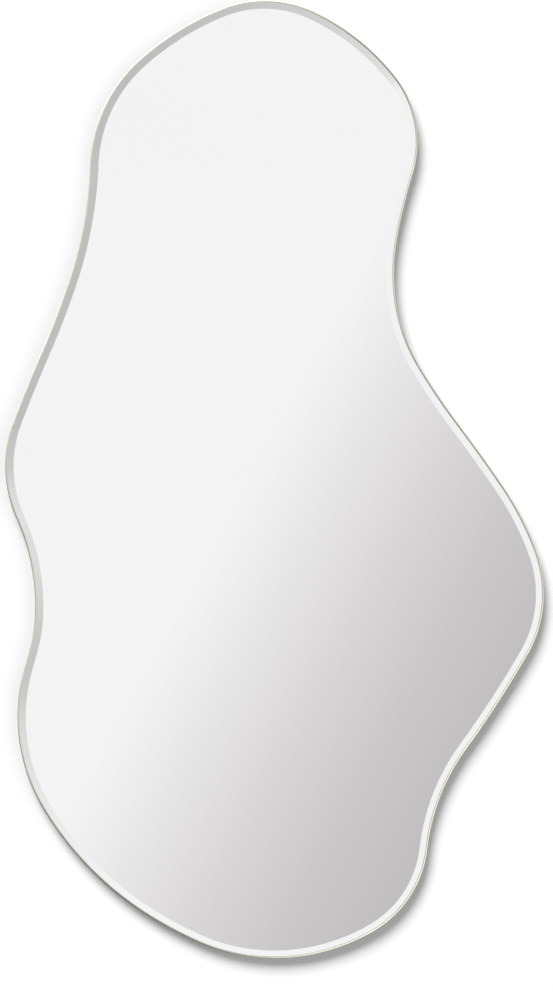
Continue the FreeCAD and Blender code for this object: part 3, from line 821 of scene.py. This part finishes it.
def ring_route(low, high):
    """The wire's middle line as (x, z) points, clockwise from the middle of the bar."""
    middle = (low.x + high.x) / 2
    half = (high.x - low.x) / 2 - WIRE_RADIUS
    bar = high.z - WIRE_RADIUS
    bow = low.z + WIRE_RADIUS + half
    reach = half - RING_CORNER
    route = [(middle, bar)]
    route += quarter((middle + reach, bar - RING_CORNER), RING_CORNER, 0, BEND_STEPS)[::-1]
    for i in range(BOW_STEPS + 1):
        turn = -math.pi * i / BOW_STEPS
        route.append((middle + half * math.cos(turn), bow + half * math.sin(turn)))
    route += quarter((middle - reach, bar - RING_CORNER), RING_CORNER, 90, BEND_STEPS)[::-1]
    return route


def d_ring(side):
    """Nickel wire bent to a D and welded in the middle of its bar."""
    low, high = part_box(f"d_ring_{side}")
    depth = (low.y + high.y) / 2
    route = ring_route(low, high)
    bm = bmesh.new()
    turns = [2 * math.pi * k / WIRE_SIDES for k in range(WIRE_SIDES)]
    rings = []
    for i, (x, z) in enumerate(route):
        before = route[i - 1]
        after = route[(i + 1) % len(route)]
        heading = math.atan2(after[1] - before[1], after[0] - before[0]) if i else 0.0
        out = Vector((math.sin(heading), 0, -math.cos(heading)))
        middle = Vector((x, depth, z))
        rings.append([bm.verts.new(middle + WIRE_RADIUS * math.cos(turn) * out
                                   + WIRE_RADIUS * math.sin(turn) * TO_WALL) for turn in turns])
    for ring, following in zip(rings, rings[1:] + rings[:1]):
        for k in range(WIRE_SIDES):
            m = (k + 1) % WIRE_SIDES
            bm.faces.new((ring[k], ring[m], following[m], following[k]))
    piece = finished(f"wire_ring_{side}", bm, [NICKEL], smooth_angle=60)
    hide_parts(f"d_ring_{side}")
    return piece


# ---- the pieces that keep their CAD form -------------------------------------------------------
CAD_FINISHES = {
    "splinter_film": FILM,
    "foam_tape": FOAM,
    "splice_plate": RAW_BRASS,
    "frame_lug": ZINC,
    "hanger_strap": ZINC,
}


def finish_cad_nodes():
    for name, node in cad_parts.items():
        for start, material in CAD_FINISHES.items():
            if name.startswith(start):
                node.data.materials.clear()
                node.data.materials.append(material)


# ---- stage, light and camera -------------------------------------------------------------------
WALL_TONE = 0.88               # with the wall's own glow it shows as white in full light
WALL_GLOW = 0.15
WALL_SIDE = 6.0                # how far the wall and floor reach each way
WALL_TOP = 5.0
FLOOR_REACH = 8.0
FLOOR_DROP = 0.35
BEHIND_BUMPERS = 0.3 * MM

# A lamp's share is its part of the light on the wall, its slope is how far it stands across and
# up for each metre out from the wall, and its angle is how wide it is, in degrees.
KEY_SHARE = 0.75
KEY_SLOPE = (-0.43, 0.92)
KEY_ANGLE = 32
FILL_SHARE = 0.12
FILL_SLOPE = (0.90, -0.20)
FILL_ANGLE = 50
BACK_WAY = (0.5, 1.0, 0.8)     # the lamp behind the wall, for views of the fittings
BACK_LEVEL = 0.9
BACK_ANGLE = 25


def stage_material(name, one_sided):
    """Matt paint that glows a little for the camera, and is clear from behind where one-sided."""
    material, tree, _ = new_material(name)
    tree.nodes.clear()
    out = tree.nodes.new("ShaderNodeOutputMaterial")
    place = add(tree, "ShaderNodeTexCoord").outputs["Object"]
    roller = add(tree, "ShaderNodeTexNoise", Vector=place, Scale=220.0, Detail=2.0)
    paint = ramp(tree, roller.outputs["Fac"],
                 [(0.3, grey(WALL_TONE * 0.997)), (0.7, grey(WALL_TONE))])
    matt = add(tree, "ShaderNodeBsdfDiffuse", Color=paint)
    seen = add(tree, "ShaderNodeLightPath").outputs["Is Camera Ray"]
    glow = add(tree, "ShaderNodeEmission", Color=(*grey(WALL_GLOW), 1.0), Strength=seen)
    both = add(tree, "ShaderNodeAddShader", _0=matt.outputs[0], _1=glow.outputs[0])
    shader = both.outputs[0]
    if one_sided:
        behind = add(tree, "ShaderNodeNewGeometry").outputs["Backfacing"]
        clear = add(tree, "ShaderNodeBsdfTransparent")
        sided = add(tree, "ShaderNodeMixShader", _0=behind, _1=shader, _2=clear.outputs[0])
        shader = sided.outputs[0]
    tree.links.new(shader, out.inputs["Surface"])
    return material


def stage_plane(name, corners, material):
    mesh = bpy.data.meshes.new(name)
    mesh.from_pydata(corners, [], [(0, 1, 2, 3)])
    mesh.materials.append(material)
    plane = bpy.data.objects.new(name, mesh)
    bpy.context.scene.collection.objects.link(plane)
    plane.visible_glossy = False
    plane.visible_transmission = False
    return plane


def wall_and_floor():
    floor_z = CAD_LOW.z - FLOOR_DROP
    wall = stage_plane("wall", [(-WALL_SIDE, BEHIND_BUMPERS, floor_z),
                                (WALL_SIDE, BEHIND_BUMPERS, floor_z),
                                (WALL_SIDE, BEHIND_BUMPERS, WALL_TOP),
                                (-WALL_SIDE, BEHIND_BUMPERS, WALL_TOP)],
                       stage_material("wall_paint", True))
    floor = stage_plane("floor", [(-WALL_SIDE, -FLOOR_REACH, floor_z),
                                  (WALL_SIDE, -FLOOR_REACH, floor_z),
                                  (WALL_SIDE, FLOOR_REACH, floor_z),
                                  (-WALL_SIDE, FLOOR_REACH, floor_z)],
                        stage_material("floor_paint", False))
    for plane in (wall, floor):
        plane.visible_shadow = False
        plane.visible_diffuse = False


def lamp(name, way, level, width):
    """A lamp far away that lights a surface facing it at a level, without a glint of its own."""
    data = bpy.data.lights.new(name, "SUN")
    data.energy = math.pi * level
    data.angle = math.radians(width)
    sun = bpy.data.objects.new(name, data)
    sun.rotation_mode = "QUATERNION"
    sun.rotation_quaternion = Vector(way).to_track_quat("Z", "Y")
    bpy.context.scene.collection.objects.link(sun)
    sun.visible_glossy = False


def lamps():
    for name, share, slope, angle in (("key_lamp", KEY_SHARE, KEY_SLOPE, KEY_ANGLE),
                                      ("fill_lamp", FILL_SHARE, FILL_SLOPE, FILL_ANGLE)):
        way = Vector((slope[0], -1.0, slope[1]))
        lamp(name, way, share * way.length, angle)
    lamp("back_lamp", BACK_WAY, BACK_LEVEL, BACK_ANGLE)


# What the polished faces see of the room. A pale panel stands behind the camera and fades to grey
# towards the lower right, in steps of degrees off the camera's line. Round it come a bright rim,
# then the near room, which the bevel sees, and then the far room, which the band's nose sees, with
# lamps brighter than white. Both rooms go by the turn in degrees, from the right round by the top.
# Tones are display values from 0 to 255. Those of the far room are light, with white at 1.
PANEL_WAY = Vector((0.8805, 0.0, -0.4741))
PANEL = [(-0.38, (244, 244, 244)), (0.2, (237, 236, 236)), (1.57, (216, 214, 215)),
         (2.5, (203, 201, 202)), (3.6, (192, 190, 191))]
PANEL_EDGE = (7.4, 7.0)
RIM_EDGE = (19.0, 17.5)
RIM_TONE = 255
NEAR_ROOM = [(-180, 203), (-171, 217), (-142, 235), (-125, 245), (38, 242), (48, 222), (67, 208),
             (97, 198), (128, 190), (160, 190), (180, 203)]
FAR_EDGE = (33.0, 30.0)
FAR_ROOM = [(-180, 0.75), (-165, 0.4), (-150, 0.15), (-130, 0.02), (-110, 0.1), (-98, 0.35),
            (-86, 1.2), (-70, 2.05), (-30, 2.05), (10, 1.1), (42, 0.02), (55, 0.02), (68, 1.2),
            (90, 3.0), (130, 3.5), (170, 1.35), (180, 0.75)]
BRIGHTEST = 4.0                # a ramp holds at most 1, so the far room is scaled back by this
BACK_EDGE = (140.0, 115.0)
BACK_TONES = (110, 250)        # the floor and the walls that the back sees
BACK_HEIGHTS = (-0.8, -0.1)


def light(tone):
    """The colour of light that a grey or a (red, green, blue) display tone stands for."""
    tones = tone if isinstance(tone, tuple) else grey(tone)
    return (*(shaded(level) for level in tones), 1.0)


def mixed(tree, factor, outer, inner):
    node = add(tree, "ShaderNodeMix", data_type="RGBA", _0=factor, _6=outer, _7=inner)
    return node.outputs[2]


def share_towards(tree, direction, way, low, high, easing="SMOOTHSTEP"):
    """From 0 to 1 as the direction's reach towards a way goes from low to high."""
    reach = add(tree, "ShaderNodeVectorMath", operation="DOT_PRODUCT", _0=direction, _1=way)
    node = add(tree, "ShaderNodeMapRange", interpolation_type=easing, _0=reach.outputs["Value"],
               _1=low, _2=high, _3=0.0, _4=1.0)
    return node.outputs[0]


def panel_tone(tree, direction):
    reaches = [math.sin(math.radians(degrees)) for degrees, _ in PANEL]
    width = reaches[-1] - reaches[0]
    place = share_towards(tree, direction, PANEL_WAY, reaches[0], reaches[-1], "LINEAR")
    return ramp(tree, place, [((reach - reaches[0]) / width, light(tone)[:3])
                              for reach, (_, tone) in zip(reaches, PANEL)])


def round_the_room(tree, direction, tones, colour_of):
    """The tone for the direction's turn about the camera's line."""
    parts = add(tree, "ShaderNodeSeparateXYZ", _0=direction).outputs
    turn = add(tree, "ShaderNodeMath", operation="ARCTAN2", _0=parts["Z"], _1=parts["X"])
    place = add(tree, "ShaderNodeMapRange", _0=turn.outputs[0], _1=-math.pi, _2=math.pi,
                _3=0.0, _4=1.0).outputs[0]
    return ramp(tree, place, [((degrees + 180) / 360, colour_of(tone)) for degrees, tone in tones])


def room_reflection(tree, direction):
    """The room's tone in a direction, for polished faces."""
    def within(edge):
        """1 near the camera's line and 0 beyond an edge, given in degrees."""
        low, high = (math.cos(math.radians(degrees)) for degrees in edge)
        return share_towards(tree, direction, -TO_WALL, low, high)

    near = round_the_room(tree, direction, NEAR_ROOM, lambda tone: light(tone)[:3])
    far = round_the_room(tree, direction, FAR_ROOM, lambda level: grey(level / BRIGHTEST))
    far = add(tree, "ShaderNodeVectorMath", operation="SCALE", _0=far, Scale=BRIGHTEST).outputs[0]
    height = share_towards(tree, direction, Vector((0, 0, 1)), *BACK_HEIGHTS)
    back = mixed(tree, height, light(BACK_TONES[0]), light(BACK_TONES[1]))
    seen = mixed(tree, within(BACK_EDGE), back, far)
    seen = mixed(tree, within(FAR_EDGE), seen, near)
    seen = mixed(tree, within(RIM_EDGE), seen, light(RIM_TONE))
    return mixed(tree, within(PANEL_EDGE), seen, panel_tone(tree, direction))


def studio_world():
    """White for the camera, plain light for matt surfaces, and the room for polished ones."""
    world = bpy.data.worlds.new("studio")
    bpy.context.scene.world = world
    world.use_nodes = True
    tree = world.node_tree
    direction = add(tree, "ShaderNodeTexCoord").outputs["Generated"]
    path = add(tree, "ShaderNodeLightPath").outputs
    shiny = add(tree, "ShaderNodeMath", operation="MAXIMUM", _0=path["Is Glossy Ray"],
                _1=path["Is Transmission Ray"])
    direct = add(tree, "ShaderNodeMath", operation="LESS_THAN", _0=path["Diffuse Depth"], _1=0.5)
    polished = add(tree, "ShaderNodeMath", operation="MULTIPLY", _0=shiny.outputs[0],
                   _1=direct.outputs[0])
    plain = (*grey(1 - KEY_SHARE - FILL_SHARE), 1.0)
    lit = mixed(tree, polished.outputs[0], plain, room_reflection(tree, direction))
    seen = mixed(tree, path["Is Camera Ray"], lit, (1.0, 1.0, 1.0, 1.0))
    tree.links.new(seen, tree.nodes["Background"].inputs["Color"])


def camera():
    data = bpy.data.cameras.new("camera")
    data.sensor_width = SENSOR
    data.lens = SENSOR * CAMERA_DISTANCE / PICTURE_HEIGHT
    data.clip_end = 100.0
    eye = bpy.data.objects.new("camera", data)
    eye.location = (PICTURE_MIDDLE[0], GLASS_FRONT - CAMERA_DISTANCE, PICTURE_MIDDLE[1])
    eye.rotation_euler = (math.radians(90), 0, 0)
    bpy.context.scene.collection.objects.link(eye)
    bpy.context.scene.camera = eye


# ---- assembly ----------------------------------------------------------------------------------
def assemble():
    finish_cad_nodes()
    fixed = [mirror_sheet(), backing_panel(), *band_lengths(), rubber_bumpers(), splice_screws(),
             wood_screws("strap_screws", "hanger_screws", STRAP_SEED),
             wood_screws("board_screws", "lug_screws", BOARD_SEED), solder_beads()]
    for piece in fixed:
        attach(piece, BODY)
    for side in ("left", "right"):
        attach(d_ring(side), f"d_ring_{side}")


camera()
wall_and_floor()
lamps()
studio_world()
bpy.context.scene.view_settings.view_transform = "Standard"
assemble()
